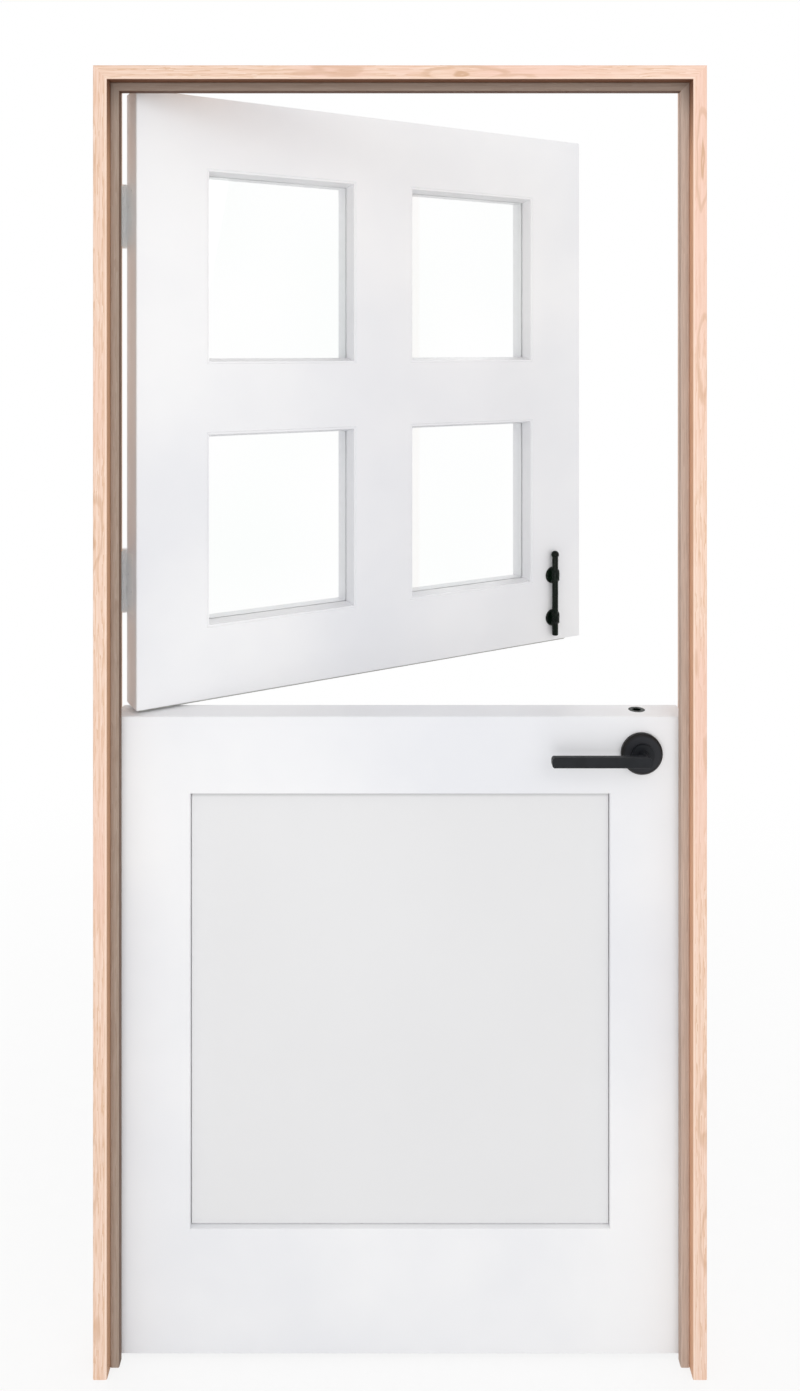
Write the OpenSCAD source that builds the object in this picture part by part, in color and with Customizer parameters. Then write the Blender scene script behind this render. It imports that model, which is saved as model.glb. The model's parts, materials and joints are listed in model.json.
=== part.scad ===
// Dutch stable door: two leaves hung one above the other in a timber frame.
// X runs across the doorway, Y from the stop side to the side the leaves open to, Z up.
// The origin is on the floor line, midway between the jambs, in the plane of the closed leaves' front faces.
// Every piece of a leaf is drawn in the closed position. The upper leaf is then swung about its hinge pins.

/* [Leaves] */
// Width of both leaves
leaf_w = 914; // [760:1:1070]
// Thickness of both leaves
leaf_t = 57; // [50:1:64]
// Height of the lower leaf
lower_h = 1022; // [900:1:1150]
// Height of the upper leaf
upper_h = 1005; // [850:1:1150]
// Width of every stile
stile_w = 120; // [112:1:150]
// Easing of the timber edges
arris = 1.2; // [0.6:0.1:2]
// Angle at which the upper leaf stands open
upper_open = 30; // [0:1:90]

/* [Upper leaf] */
// Height of the top rail
upper_top_rail_h = 120; // [90:1:160]
// Height of the bottom rail
upper_bottom_rail_h = 120; // [110:1:160]
// Width of the upright bar between the panes
mullion_w = 116; // [90:1:150]
// Height of the level bars between the panes
cross_bar_h = 116; // [60:1:150]
// Depth from the front face to the glass
glass_depth = 22; // [16:1:28]
// Thickness of the glass
glass_t = 6; // [4:1:10]
// Width of the rebate that the glass rests on
glass_lip = 8; // [6:1:14]
// Room between the edge of a pane and the timber
glass_room = 2; // [1:0.5:4]
// Width of the glazing bead's front edge
bead_face = 3; // [2:0.5:5]
// Depth of the glazing bead's front edge behind the leaf's face
bead_inset = 1.6; // [1.2:0.1:4]
// Hairline left at each mitred end of a glazing bead
bead_mitre = 0.1; // [0.05:0.05:0.4]

/* [Lower leaf] */
// Height of the top rail
lower_top_rail_h = 124; // [110:1:180]
// Height of the bottom rail
lower_bottom_rail_h = 200; // [120:1:260]
// Depth of the panel's face behind the leaf's face
panel_recess = 10; // [4:1:16]
// Thickness of the panel's tongue
panel_tongue_t = 16; // [10:1:18]
// Length of the panel's tongue
panel_tongue_l = 11; // [6:1:16]
// Room between the panel's shoulder and the timber
panel_room = 1; // [0.5:0.1:3]

/* [Joinery] */
// Thickness of the tenons
tenon_t = 16; // [12:1:20]
// Length of the tenons
tenon_l = 36; // [20:1:40]
// Shoulder left at each edge of a tenon
tenon_shoulder = 15; // [8:1:20]
// Room round a tenon or a tongue
joint_room = 0.2; // [0.1:0.05:0.5]

/* [Frame] */
// Thickness of the jambs and the head
jamb_t = 22; // [21:1:40]
// Depth of the open rebate in front of the stops
reveal = 20; // [8:1:60]
// Width by which a stop stands in from the jamb
stop_w = 14; // [10:1:25]
// Thickness of the stops
stop_t = 16; // [10:1:25]
// Gap between a leaf and the jambs or the head
edge_gap = 3; // [2.5:0.5:6]
// Gap between the two leaves
meeting_gap = 5; // [5:0.5:8]
// Gap under the lower leaf
floor_gap = 6; // [3:1:20]
// Gap between the closed leaves and the stops
stop_gap = 1; // [0.5:0.5:3]

/* [Hinges] */
// Height of a hinge
hinge_h = 100; // [80:1:125]
// Width of a hinge plate
hinge_plate_w = 38; // [30:1:44]
// Thickness of a hinge plate
hinge_plate_t = 3; // [2:0.1:3.5]
// Diameter of the knuckles
barrel_d = 14; // [11:0.5:16]
// Diameter of the hinge pin
pin_d = 6; // [4:0.5:7]
// Height of the button at each end of the pin
pin_button_h = 3; // [2:0.5:5]
// Clear space between the knuckles and the leaf's back face
barrel_gap = 0.6; // [0.4:0.1:2]
// Number of knuckles on a hinge
knuckles = 5; // [3:2:7]
// Gap between neighbouring knuckles
knuckle_gap = 0.4; // [0.3:0.1:1]
// Distance from a leaf's end to the nearer hinge
hinge_inset = 150; // [100:1:250]
// Distance of the hinge screws from the plate's edges
hinge_screw_edge = 11; // [8:1:14]

/* [Screws] */
// Diameter of a wood screw's shank
screw_d = 4.4; // [3:0.1:5]
// Diameter of a wood screw's head
screw_head_d = 8.4; // [6:0.1:9]
// Height of a wood screw's countersunk head
screw_head_h = 2; // [1.5:0.1:2.4]
// Length of a wood screw
screw_l = 18; // [12:1:20]
// Room round a screw
screw_room = 0.1; // [0.05:0.05:0.3]
// Length of each arm of the cross recess, from end to end
recess_l = 4.4; // [3:0.1:5]
// Width of the cross recess
recess_w = 1; // [0.8:0.1:1.4]
// Depth of the cross recess
recess_depth = 1.2; // [0.8:0.1:1.5]

/* [Lever set] */
// Distance from the leaf's edge to the spindle
backset = 70; // [60:1:75]
// Distance from the lower leaf's top edge to the spindle
lever_drop = 58; // [58:1:120]
// Diameter of a rose
rose_d = 66; // [62:1:75]
// Thickness of a rose
rose_t = 9; // [8:1:14]
// Bevel round the face of a rose
rose_bevel = 3; // [1:0.5:5]
// Distance from the spindle to the lever's tip
lever_l = 149; // [100:1:160]
// Height of the lever's bar
lever_h = 17; // [16:0.5:24]
// Thickness of the lever's bar
lever_t = 12; // [8:0.5:16]
// Distance from the leaf's face to the front of the lever's bar
lever_reach = 44; // [40:1:70]
// Corner radius at the tip of the lever's bar
lever_tip_r = 6; // [3:0.5:8]
// Rounding along the lever's bar
lever_edge_r = 2.5; // [1:0.5:4]
// Diameter of the collar behind the lever's bar
collar_d = 36; // [30:1:46]
// Thickness of the collar
collar_t = 5; // [3:0.5:8]
// Gap between a collar and its rose
collar_gap = 0.4; // [0.3:0.1:1]
// Diameter of the lever's journal in the rose
journal_d = 20; // [16:0.5:24]
// Side of the square spindle
spindle_w = 7; // [6:0.5:7.5]
// Depth of the spindle's socket beyond the leaf's face
spindle_reach = 30; // [20:1:34]
// Diameter of the bore through the leaf
cross_bore_d = 54; // [50:1:58]
// Diameter of the bolts that join the roses
rose_bolt_d = 4; // [3:0.5:5]
// Distance of the rose bolts from the spindle
rose_bolt_offset = 21; // [20:0.5:22]
// Length of a rose bolt inside a rose
rose_bolt_hold = 6; // [4:0.5:7]

/* [Latch] */
// Diameter of the latch case
case_d = 23.6; // [23:0.1:25]
// Length of the latch case beyond the spindle
case_tail = 20; // [16:1:24]
// Room round the latch case
case_room = 0.2; // [0.1:0.1:0.5]
// Width of the latch bolt
latch_w = 13; // [11:0.5:13.5]
// Height of the latch bolt
latch_h = 16; // [14:0.5:16]
// Distance that the latch bolt stands out of the leaf's edge
latch_throw = 10.5; // [8:0.5:12]
// Length of the latch bolt's head inside the case
latch_head_l = 28; // [24:1:30]
// Length of the bevel on the latch bolt
latch_bevel = 9; // [6:0.5:10]
// Flat left on the latch bolt's nose
latch_nose = 2; // [1:0.5:4]
// Room round the sliding latch bolt
latch_room = 0.3; // [0.3:0.05:0.6]
// Width of the latch bolt's tail
tail_w = 10; // [8:0.5:11]
// Distance from the spindle to the underside of the tail
tail_low = 6.6; // [6.4:0.1:7]
// Thickness of the latch bolt's tail
tail_t = 3.8; // [3:0.1:4.5]
// Length of the tail beyond the spindle
tail_l = 8; // [6:0.5:9]
// Diameter of the cam's hub
cam_d = 12; // [11.5:0.1:12.4]
// Length of the cam's hub
cam_l = 22; // [20:1:24]
// Distance from the spindle to the centre of the finger's round tip
finger_r = 10.2; // [9:0.1:10.4]
// Width of the cam's finger
finger_w = 4; // [3:0.5:5]
// Thickness of the cam's finger
finger_t = 5; // [4:0.5:5.5]
// Width of the latch faceplate
faceplate_w = 26; // [25.5:0.5:28]
// Height of the latch faceplate
faceplate_h = 57; // [54:1:64]
// Thickness of the latch faceplate
faceplate_t = 2.5; // [2.2:0.1:3.5]
// Distance between the two screws of the faceplate
faceplate_screws_apart = 42; // [38:1:44]
// Corner radius of the faceplate and the strike plate
plate_r = 4; // [2:0.5:5]

/* [Strike] */
// Width of the strike plate
strike_w = 38; // [34:1:42]
// Height of the strike plate
strike_h = 70; // [60:1:80]
// Thickness of the strike plate
strike_t = 2.5; // [2.2:0.1:3]
// Height of the lip that leads the latch bolt in
strike_lip_h = 32; // [24:1:40]
// Room round the latch bolt in the strike
strike_room = 2; // [1:0.5:3]
// Distance between the two screws of the strike plate
strike_screws_apart = 52; // [44:1:60]
// Depth of the pocket in the jamb behind the strike plate
strike_pocket = 14; // [12:1:18]

/* [Bolt] */
// Diameter of the bolt's rod
bolt_d = 12; // [9:0.5:12]
// Length of the bolt from tip to ball
bolt_l = 169; // [166:1:200]
// Diameter of the bolt's ball
ball_d = 15.5; // [13:0.5:17]
// Distance from the leaf's face to the rod's centre
bolt_standoff = 9.5; // [9:0.5:11]
// Height of the rod's tip above the leaf's bottom edge
bolt_tip_gap = 12; // [8:1:20]
// Travel of the bolt
bolt_throw = 19; // [14:1:19]
// Diameter of a bolt guide
guide_d = 33; // [30:1:40]
// Thickness of a bolt guide's base
guide_t = 4; // [3:0.5:5]
// Wall of a bolt guide's barrel
guide_wall = 2.5; // [2:0.5:4]
// Distance from the leaf's face to the centre of the ball that a guide is rounded to
guide_round_y = 2; // [2:0.5:4]
// Height of the lower guide above the rod's tip
guide_up = 34; // [28:1:40]
// Distance between the two guides
guide_pitch = 85; // [76:1:86]
// Diameter of a guide's fixing pegs
guide_peg_d = 5; // [4:0.5:6]
// Length of a guide's fixing pegs
guide_peg_l = 14; // [10:1:16]
// Distance of the fixing pegs from the guide's middle
guide_peg_offset = 11; // [9:0.5:12]
// Diameter of the stud that links the rod and the shoot
stud_d = 6; // [4:0.5:6]
// Room round the stud in its slot
stud_room = 0.4; // [0.3:0.1:1]
// Diameter of the concealed shoot
shoot_d = 12; // [10:0.5:13]
// Length of the concealed shoot
shoot_l = 90; // [80:1:110]
// Height of the shoot's tip above the leaf's bottom edge
shoot_tip_gap = 2; // [1:0.5:4]
// Depth from the leaf's front face to the shoot's centre
shoot_depth = 34; // [26:1:36]
// Room at the top of the shoot's bore
shoot_room = 2; // [1:0.5:5]
// Diameter of the keeper's flange
keeper_d = 27; // [24:0.5:30]
// Thickness of the keeper's flange
keeper_t = 2; // [1.5:0.5:3]
// Wall of the keeper's tube
keeper_wall = 2; // [1.5:0.5:3]
// Depth of the keeper's tube
keeper_depth = 22; // [20:1:24]
// Room round the shoot in the keeper
keeper_room = 1; // [0.5:0.1:1.5]

/* [Seal] */
// Width of the meeting seal
seal_w = 10; // [8:0.5:14]
// Thickness of the seal's base
seal_base_t = 1.5; // [1:0.1:2]
// Height of the seal with its fin
seal_h = 4; // [3:0.1:4.4]
// Thickness of the seal's fin
seal_fin_t = 3; // [2:0.5:4]
// Distance of the seal from the leaf's front face
seal_front = 4; // [2:0.5:10]
// Distance of the seal's ends from the leaf's hinge edge
seal_hinge_inset = 6; // [4:1:20]
// Distance of the seal's ends from the leaf's free edge
seal_lock_inset = 34; // [10:1:40]

/* [Hidden] */
$fn = 64;
// Radial room of a pin or shaft in its bore
run_fit = 0.05;
// Overlap of joined shapes and overrun of cuts
over = 1;
// Bevel on the edges of turned metal pieces
metal_bevel = 1;
// Least timber left between a tenon and the bolt's bore
bore_wall = 4;

white_paint = "#eceef0";
pine = "#f3d5bb";
stained_pine = "#9c8676";
black_metal = "#2b2d30";
satin_steel = "#b8bbbe";
white_metal = "#e4e6e8";
grey_rubber = "#a8a8a4";
clear_glass = [0.85, 0.93, 0.93, 0.3];

// Frame
jamb_in = leaf_w / 2 + edge_gap;
jamb_out = jamb_in + jamb_t;
stop_back = -stop_gap;
stop_front = stop_back - stop_t;
frame_front = stop_front - reveal;
frame_back = leaf_t;
lower_z0 = floor_gap;
lower_z1 = lower_z0 + lower_h;
upper_z0 = lower_z1 + meeting_gap;
upper_z1 = upper_z0 + upper_h;
head_z = upper_z1 + edge_gap;
head_top = head_z + jamb_t;

// Leaves
hinge_edge = -leaf_w / 2;
lock_edge = leaf_w / 2;
hinge_inner = hinge_edge + stile_w;
lock_inner = lock_edge - stile_w;
mid_y = leaf_t / 2;
glass_back = glass_depth + glass_t;
lite_w = (leaf_w - 2 * stile_w - mullion_w) / 2;
lite_h = (upper_h - upper_top_rail_h - upper_bottom_rail_h - cross_bar_h) / 2;
panel_z0 = lower_z0 + lower_bottom_rail_h;
panel_z1 = lower_z1 - lower_top_rail_h;
tenon_reach = min(tenon_l, stile_w - backset - shoot_d / 2 - bore_wall);

// Hinges
pin_x = hinge_edge - edge_gap / 2;
pin_back = barrel_d / 2 + barrel_gap;
pin_y = leaf_t + pin_back;
knuckle_h = hinge_h / knuckles;
upper_hinge_low = upper_z0 + hinge_inset;
upper_hinge_high = upper_z1 - hinge_inset - hinge_h;
lower_hinge_low = lower_z0 + hinge_inset;
lower_hinge_high = lower_z1 - hinge_inset - hinge_h;
hinge_heights = [lower_hinge_low, lower_hinge_high, upper_hinge_low, upper_hinge_high];

// Lock and bolt
lock_x = lock_edge - backset;
lock_z = lower_z1 - lever_drop;
neck_d = lever_h;
bolt_tip = upper_z0 + bolt_tip_gap;
shoot_tip = upper_z0 + shoot_tip_gap;
guide_heights = [bolt_tip + guide_up, bolt_tip + guide_up + guide_pitch];
stud_z = guide_heights[0] + bolt_throw / 2;

// Lower corner of the pane in column i and row j
function lite_x(i) = hinge_inner + i * (lite_w + mullion_w);
function lite_z(j) = upper_z0 + upper_bottom_rail_h + j * (lite_h + cross_bar_h);

// Block between two opposite corners
module span(lo, hi) {
    translate(lo) cube(hi - lo);
}

// Outline in Y and Z drawn out along X
module along_x(x0, x1) {
    translate([x0, 0, 0]) rotate([90, 0, 90]) linear_extrude(x1 - x0) children();
}

// Outline in X and Z drawn out along Y
module along_y(y0, y1) {
    translate([0, y1, 0]) rotate([90, 0, 0]) linear_extrude(y1 - y0) children();
}

// Outline in X and Y drawn out along Z
module along_z(z0, z1) {
    translate([0, 0, z0]) linear_extrude(z1 - z0) children();
}

module rod_x(d, x0, x1, y, z) {
    translate([x0, y, z]) rotate([0, 90, 0]) cylinder(d = d, h = x1 - x0);
}

module rod_y(d, y0, y1, x, z) {
    translate([x, y1, z]) rotate([90, 0, 0]) cylinder(d = d, h = y1 - y0);
}

module rod_z(d, z0, z1, x, y) {
    translate([x, y, z0]) cylinder(d = d, h = z1 - z0);
}

// Rectangle with eased corners
module eased_rect(u0, u1, v0, v1) {
    polygon([
        [u0 + arris, v0], [u1 - arris, v0], [u1, v0 + arris], [u1, v1 - arris],
        [u1 - arris, v1], [u0 + arris, v1], [u0, v1 - arris], [u0, v0 + arris]
    ]);
}

// Rectangle with round corners
module round_rect(u0, u1, v0, v1, r) {
    translate([u0 + r, v0]) square([u1 - u0 - 2 * r, v1 - v0]);
    translate([u0, v0 + r]) square([u1 - u0, v1 - v0 - 2 * r]);
    for (u = [u0 + r, u1 - r], v = [v0 + r, v1 - r]) translate([u, v]) circle(r);
}

// Outline of a whole leaf with eased edges
module eased_leaf(z0, z1) {
    intersection() {
        along_z(z0, z1) eased_rect(hinge_edge, lock_edge, 0, leaf_t);
        along_x(hinge_edge, lock_edge) eased_rect(0, leaf_t, z0, z1);
    }
}

// Cut that eases the edges of a rectangular hole, from the face at that depth inwards
module hole_easing(x0, x1, z0, z1, face, inwards) {
    outside = arris + over;
    y_out = face - inwards * over;
    y_in = face + inwards * arris;
    intersection() {
        along_z(z0 - outside, z1 + outside)
            polygon([[x0 - outside, y_out], [x1 + outside, y_out], [x1, y_in], [x0, y_in]]);
        along_x(x0 - outside, x1 + outside)
            polygon([[y_out, z0 - outside], [y_out, z1 + outside], [y_in, z1], [y_in, z0]]);
    }
}

// Tenon that leaves an upright shoulder at x, or its mortise when room is given
module side_tenon(x, out, z0, z1, room = 0) {
    tip = x + out * (tenon_reach + room);
    root = x - out * over;
    half_t = tenon_t / 2 + room;
    span(
        [min(tip, root), mid_y - half_t, z0 + tenon_shoulder - room],
        [max(tip, root), mid_y + half_t, z1 - tenon_shoulder + room]
    );
}

// Tenon that leaves a level shoulder at z, or its mortise when room is given
module end_tenon(z, out, x0, x1, room = 0) {
    tip = z + out * (tenon_reach + room);
    root = z - out * over;
    half_t = tenon_t / 2 + room;
    span(
        [x0 + tenon_shoulder - room, mid_y - half_t, min(tip, root)],
        [x1 - tenon_shoulder + room, mid_y + half_t, max(tip, root)]
    );
}

// Countersunk shape along X with its head at the origin
module screw_shape(room) {
    rotate([0, 90, 0]) {
        cylinder(d1 = screw_head_d + 2 * room, d2 = screw_d + 2 * room, h = screw_head_h);
        cylinder(d = screw_d + 2 * room, h = screw_l + room);
    }
}

module screw_hole() {
    screw_shape(screw_room);
}

// Wood screw with a cross recess
module wood_screw() {
    difference() {
        screw_shape(0);
        for (turn = [0, 90])
            rotate([turn, 0, 0])
                span([-over, -recess_l / 2, -recess_w / 2], [recess_depth, recess_l / 2, recess_w / 2]);
    }
}

// Upper leaf at its open angle
module swing_upper() {
    translate([pin_x, pin_y, 0]) rotate([0, 0, upper_open]) translate([-pin_x, -pin_y, 0]) children();
}

// Same shape on the back of the leaf
module on_back() {
    translate([0, leaf_t, 0]) mirror([0, 1, 0]) children();
}

// Frame

module jamb_blank() {
    intersection() {
        along_z(0, head_top) eased_rect(-jamb_out, -jamb_in, frame_front, frame_back);
        along_y(frame_front, frame_back)
            polygon([[-jamb_out, 0], [-jamb_in, 0], [-jamb_in, head_z], [-jamb_out, head_top]]);
    }
}

module stop_blank() {
    stop_in = jamb_in - stop_w;
    intersection() {
        along_z(0, head_z) eased_rect(-jamb_in, -stop_in, stop_front, stop_back);
        along_y(stop_front, stop_back)
            polygon([[-jamb_in, 0], [-stop_in, 0], [-stop_in, head_z - stop_w], [-jamb_in, head_z]]);
    }
}

module hinge_jamb() {
    color(pine) difference() {
        jamb_blank();
        for (z = hinge_heights) at_hinge(z) mirror([1, 0, 0]) hinge_seat();
    }
}

module strike_jamb() {
    color(pine) difference() {
        mirror([1, 0, 0]) jamb_blank();
        along_x(jamb_in - over, jamb_in + strike_t) strike_outline(frame_back + over);
        strike_hole(jamb_in + strike_pocket);
        at_strike_screws() screw_hole();
    }
}

module head_jamb() {
    color(pine) intersection() {
        along_x(-jamb_out, jamb_out) eased_rect(frame_front, frame_back, head_z, head_top);
        along_y(frame_front, frame_back)
            polygon([[-jamb_out, head_top], [jamb_out, head_top], [jamb_in, head_z], [-jamb_in, head_z]]);
    }
}

module hinge_stop() {
    color(stained_pine) stop_blank();
}

module strike_stop() {
    color(stained_pine) mirror([1, 0, 0]) stop_blank();
}

module head_stop() {
    stop_in = jamb_in - stop_w;
    stop_low = head_z - stop_w;
    color(stained_pine) intersection() {
        along_x(-jamb_in, jamb_in) eased_rect(stop_front, stop_back, stop_low, head_z);
        along_y(stop_front, stop_back)
            polygon([[-jamb_in, head_z], [jamb_in, head_z], [stop_in, stop_low], [-stop_in, stop_low]]);
    }
}

// Opening for the latch bolt in the strike plate and the jamb
module strike_hole(x1) {
    span(
        [jamb_in - over, mid_y - latch_w / 2 - strike_room, lock_z - latch_h / 2 - strike_room],
        [x1, mid_y + latch_w / 2 + strike_room, lock_z + latch_h / 2 + strike_room]
    );
}

module at_strike_screws() {
    for (side = [-1, 1]) translate([jamb_in, mid_y, lock_z + side * strike_screws_apart / 2]) children();
}

// Strike plate in Y and Z, with a lip that runs back to that depth
module strike_outline(lip_end) {
    half_w = strike_w / 2;
    half_h = strike_h / 2;
    round_rect(mid_y - half_w, mid_y + half_w, lock_z - half_h, lock_z + half_h, plate_r);
    translate([mid_y, lock_z - strike_lip_h / 2]) square([lip_end - mid_y, strike_lip_h]);
}

module strike_plate() {
    color(black_metal) difference() {
        along_x(jamb_in, jamb_in + strike_t) strike_outline(frame_back);
        strike_hole(jamb_in + strike_t + over);
        at_strike_screws() screw_hole();
    }
}

module strike_screws() {
    color(black_metal) at_strike_screws() wood_screw();
}

// Hinges, drawn round the pin with the leaf's half on the +X side

module at_hinge(z) {
    translate([pin_x, pin_y, z]) children();
}

module at_hinge_screws() {
    rows = 4;
    pitch = (hinge_h - 2 * hinge_screw_edge) / (rows - 1);
    columns = [-pin_back - hinge_screw_edge, -pin_back - hinge_plate_w + hinge_screw_edge];
    for (row = [0 : rows - 1])
        translate([edge_gap / 2, columns[row % 2], hinge_screw_edge + row * pitch]) children();
}

// Pocket for a hinge plate and its screws
module hinge_seat() {
    span(
        [edge_gap / 2 - over, -pin_back - hinge_plate_w, 0],
        [edge_gap / 2 + hinge_plate_t, 0, hinge_h]
    );
    at_hinge_screws() screw_hole();
}

// Half of a hinge that carries every second knuckle
module hinge_half(first_knuckle) {
    difference() {
        union() {
            span(
                [edge_gap / 2, -pin_back - hinge_plate_w, 0],
                [edge_gap / 2 + hinge_plate_t, -pin_back, hinge_h]
            );
            for (k = [first_knuckle : 2 : knuckles - 1]) {
                z0 = k * knuckle_h + (k > 0 ? knuckle_gap / 2 : 0);
                z1 = (k + 1) * knuckle_h - (k < knuckles - 1 ? knuckle_gap / 2 : 0);
                span([edge_gap / 2, -pin_back - over, z0], [edge_gap / 2 + hinge_plate_t, 0, z1]);
                rod_z(barrel_d, z0, z1, 0, 0);
            }
        }
        rod_z(pin_d + 2 * run_fit, -over, hinge_h + over, 0, 0);
        at_hinge_screws() screw_hole();
    }
}

module jamb_hinge(z) {
    color(white_metal) at_hinge(z) mirror([1, 0, 0]) hinge_half(0);
}

module jamb_hinge_1() {
    jamb_hinge(lower_hinge_low);
}

module jamb_hinge_2() {
    jamb_hinge(lower_hinge_high);
}

module jamb_hinge_3() {
    jamb_hinge(upper_hinge_low);
}

module jamb_hinge_4() {
    jamb_hinge(upper_hinge_high);
}

// Pin with a bevelled button at each end
module hinge_pin() {
    button_r = barrel_d / 2 - metal_bevel;
    face_r = button_r - metal_bevel;
    shaft_r = pin_d / 2;
    top = hinge_h + pin_button_h;
    rotate_extrude()
        polygon([
            [0, -pin_button_h], [face_r, -pin_button_h], [button_r, metal_bevel - pin_button_h],
            [button_r, 0], [shaft_r, 0], [shaft_r, hinge_h], [button_r, hinge_h],
            [button_r, top - metal_bevel], [face_r, top], [0, top]
        ]);
}

module hinge_pins() {
    color(white_metal) for (z = hinge_heights) at_hinge(z) hinge_pin();
}

module jamb_hinge_screws() {
    color(white_metal)
        for (z = hinge_heights) at_hinge(z) mirror([1, 0, 0]) at_hinge_screws() wood_screw();
}

// Upper leaf

module upper_stick(x0, x1, z0, z1) {
    intersection() {
        span([x0, 0, z0], [x1, leaf_t, z1]);
        eased_leaf(upper_z0, upper_z1);
    }
}

// Upright rebate lip on the low (0) or high (1) X side of a pane
module upright_lip(i, j, side) {
    x0 = side == 0 ? lite_x(i) - over : lite_x(i) + lite_w - glass_lip;
    span([x0, glass_back, lite_z(j)], [x0 + glass_lip + over, leaf_t, lite_z(j) + lite_h]);
}

// Level rebate lip at the bottom (0) or top (1) of a pane, between the upright lips
module level_lip(i, j, side) {
    z0 = side == 0 ? lite_z(j) - over : lite_z(j) + lite_h - glass_lip;
    span(
        [lite_x(i) + glass_lip, glass_back, z0],
        [lite_x(i) + lite_w - glass_lip, leaf_t, z0 + glass_lip + over]
    );
}

// Easing of a pane's opening on both faces
module lite_easing(i, j) {
    x0 = lite_x(i);
    x1 = x0 + lite_w;
    z0 = lite_z(j);
    z1 = z0 + lite_h;
    hole_easing(x0, x1, z0, z1, 0, 1);
    hole_easing(x0 + glass_lip, x1 - glass_lip, z0 + glass_lip, z1 - glass_lip, leaf_t, -1);
}

// Level pieces that are tenoned into the stiles: bottom rail, cross bar and top rail
upper_rail_spans = [
    [upper_z0, upper_z0 + upper_bottom_rail_h],
    [lite_z(1) - cross_bar_h, lite_z(1)],
    [upper_z1 - upper_top_rail_h, upper_z1]
];

module upper_stile(x0, inner, out, column) {
    difference() {
        union() {
            upper_stick(x0, x0 + stile_w, upper_z0, upper_z1);
            for (j = [0, 1]) upright_lip(column, j, column);
        }
        for (j = [0, 1]) lite_easing(column, j);
        for (s = upper_rail_spans) side_tenon(inner, out, s[0], s[1], joint_room);
    }
}

module upper_hinge_stile() {
    color(white_paint) swing_upper() difference() {
        upper_stile(hinge_edge, hinge_inner, -1, 0);
        for (z = [upper_hinge_low, upper_hinge_high]) at_hinge(z) hinge_seat();
    }
}

module upper_lock_stile() {
    color(white_paint) swing_upper() difference() {
        upper_stile(lock_inner, lock_inner, 1, 1);
        for (z = guide_heights) guide_pegs(z, guide_peg_d + 2 * run_fit, guide_peg_l + over);
        rod_z(shoot_d + 2 * run_fit, upper_z0 - over, shoot_tip + shoot_l + shoot_room, lock_x, shoot_depth);
        stud_slot();
    }
}

// Upright slot, behind the rod, in which the link stud travels
module stud_slot() {
    half_w = stud_d / 2 + stud_room;
    low = stud_z - bolt_throw;
    span([lock_x - half_w, -bolt_standoff, low], [lock_x + half_w, shoot_depth, stud_z]);
    for (z = [low, stud_z]) rod_y(2 * half_w, -bolt_standoff, shoot_depth, lock_x, z);
}

// Rail between the stiles with tenons at both ends and mortises for the mullion
module upper_rail(z0, z1, shoulder, into, row, side) {
    difference() {
        union() {
            upper_stick(hinge_inner, lock_inner, z0, z1);
            side_tenon(hinge_inner, -1, z0, z1);
            side_tenon(lock_inner, 1, z0, z1);
            for (i = [0, 1]) level_lip(i, row, side);
        }
        for (i = [0, 1]) lite_easing(i, row);
        end_tenon(shoulder, into, -mullion_w / 2, mullion_w / 2, joint_room);
    }
}

module upper_top_rail() {
    z0 = upper_z1 - upper_top_rail_h;
    color(white_paint) swing_upper() upper_rail(z0, upper_z1, z0, 1, 1, 1);
}

module upper_bottom_rail() {
    z1 = upper_z0 + upper_bottom_rail_h;
    color(white_paint) swing_upper() upper_rail(upper_z0, z1, z1, -1, 0, 0);
}

module upper_mullion() {
    z0 = upper_z0 + upper_bottom_rail_h;
    z1 = upper_z1 - upper_top_rail_h;
    bar = upper_rail_spans[1];
    color(white_paint) swing_upper() difference() {
        union() {
            upper_stick(-mullion_w / 2, mullion_w / 2, z0, z1);
            end_tenon(z0, -1, -mullion_w / 2, mullion_w / 2);
            end_tenon(z1, 1, -mullion_w / 2, mullion_w / 2);
            for (j = [0, 1]) {
                upright_lip(0, j, 1);
                upright_lip(1, j, 0);
            }
        }
        for (i = [0, 1], j = [0, 1]) lite_easing(i, j);
        side_tenon(-mullion_w / 2, 1, bar[0], bar[1], joint_room);
        side_tenon(mullion_w / 2, -1, bar[0], bar[1], joint_room);
    }
}

// Level bar between a stile and the mullion
module cross_bar(column) {
    x0 = lite_x(column);
    bar = upper_rail_spans[1];
    color(white_paint) swing_upper() difference() {
        union() {
            upper_stick(x0, x0 + lite_w, bar[0], bar[1]);
            side_tenon(x0, -1, bar[0], bar[1]);
            side_tenon(x0 + lite_w, 1, bar[0], bar[1]);
            level_lip(column, 0, 1);
            level_lip(column, 1, 0);
        }
        for (j = [0, 1]) lite_easing(column, j);
    }
}

module hinge_side_cross_bar() {
    cross_bar(0);
}

module lock_side_cross_bar() {
    cross_bar(1);
}

module glass(i, j) {
    room = [glass_room, 0, glass_room];
    color(clear_glass) swing_upper()
        span(
            [lite_x(i), glass_depth, lite_z(j)] + room,
            [lite_x(i) + lite_w, glass_back, lite_z(j) + lite_h] - room
        );
}

module glass_1() {
    glass(0, 0);
}

module glass_2() {
    glass(1, 0);
}

module glass_3() {
    glass(0, 1);
}

module glass_4() {
    glass(1, 1);
}

// Section of a glazing bead: distance in from the timber, then depth
bead_section = [[0, bead_inset], [bead_face, bead_inset], [glass_lip, glass_depth], [0, glass_depth]];

// Bead along X with mitred ends, its back on the X axis and its width along Z
module bead(length) {
    low = bead_mitre;
    high = length - bead_mitre;
    w = glass_lip;
    intersection() {
        along_x(0, length) polygon([for (p = bead_section) [p[1], p[0]]]);
        along_y(0, glass_depth) polygon([[low, 0], [high, 0], [high - w, w], [low + w, w]]);
    }
}

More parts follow.
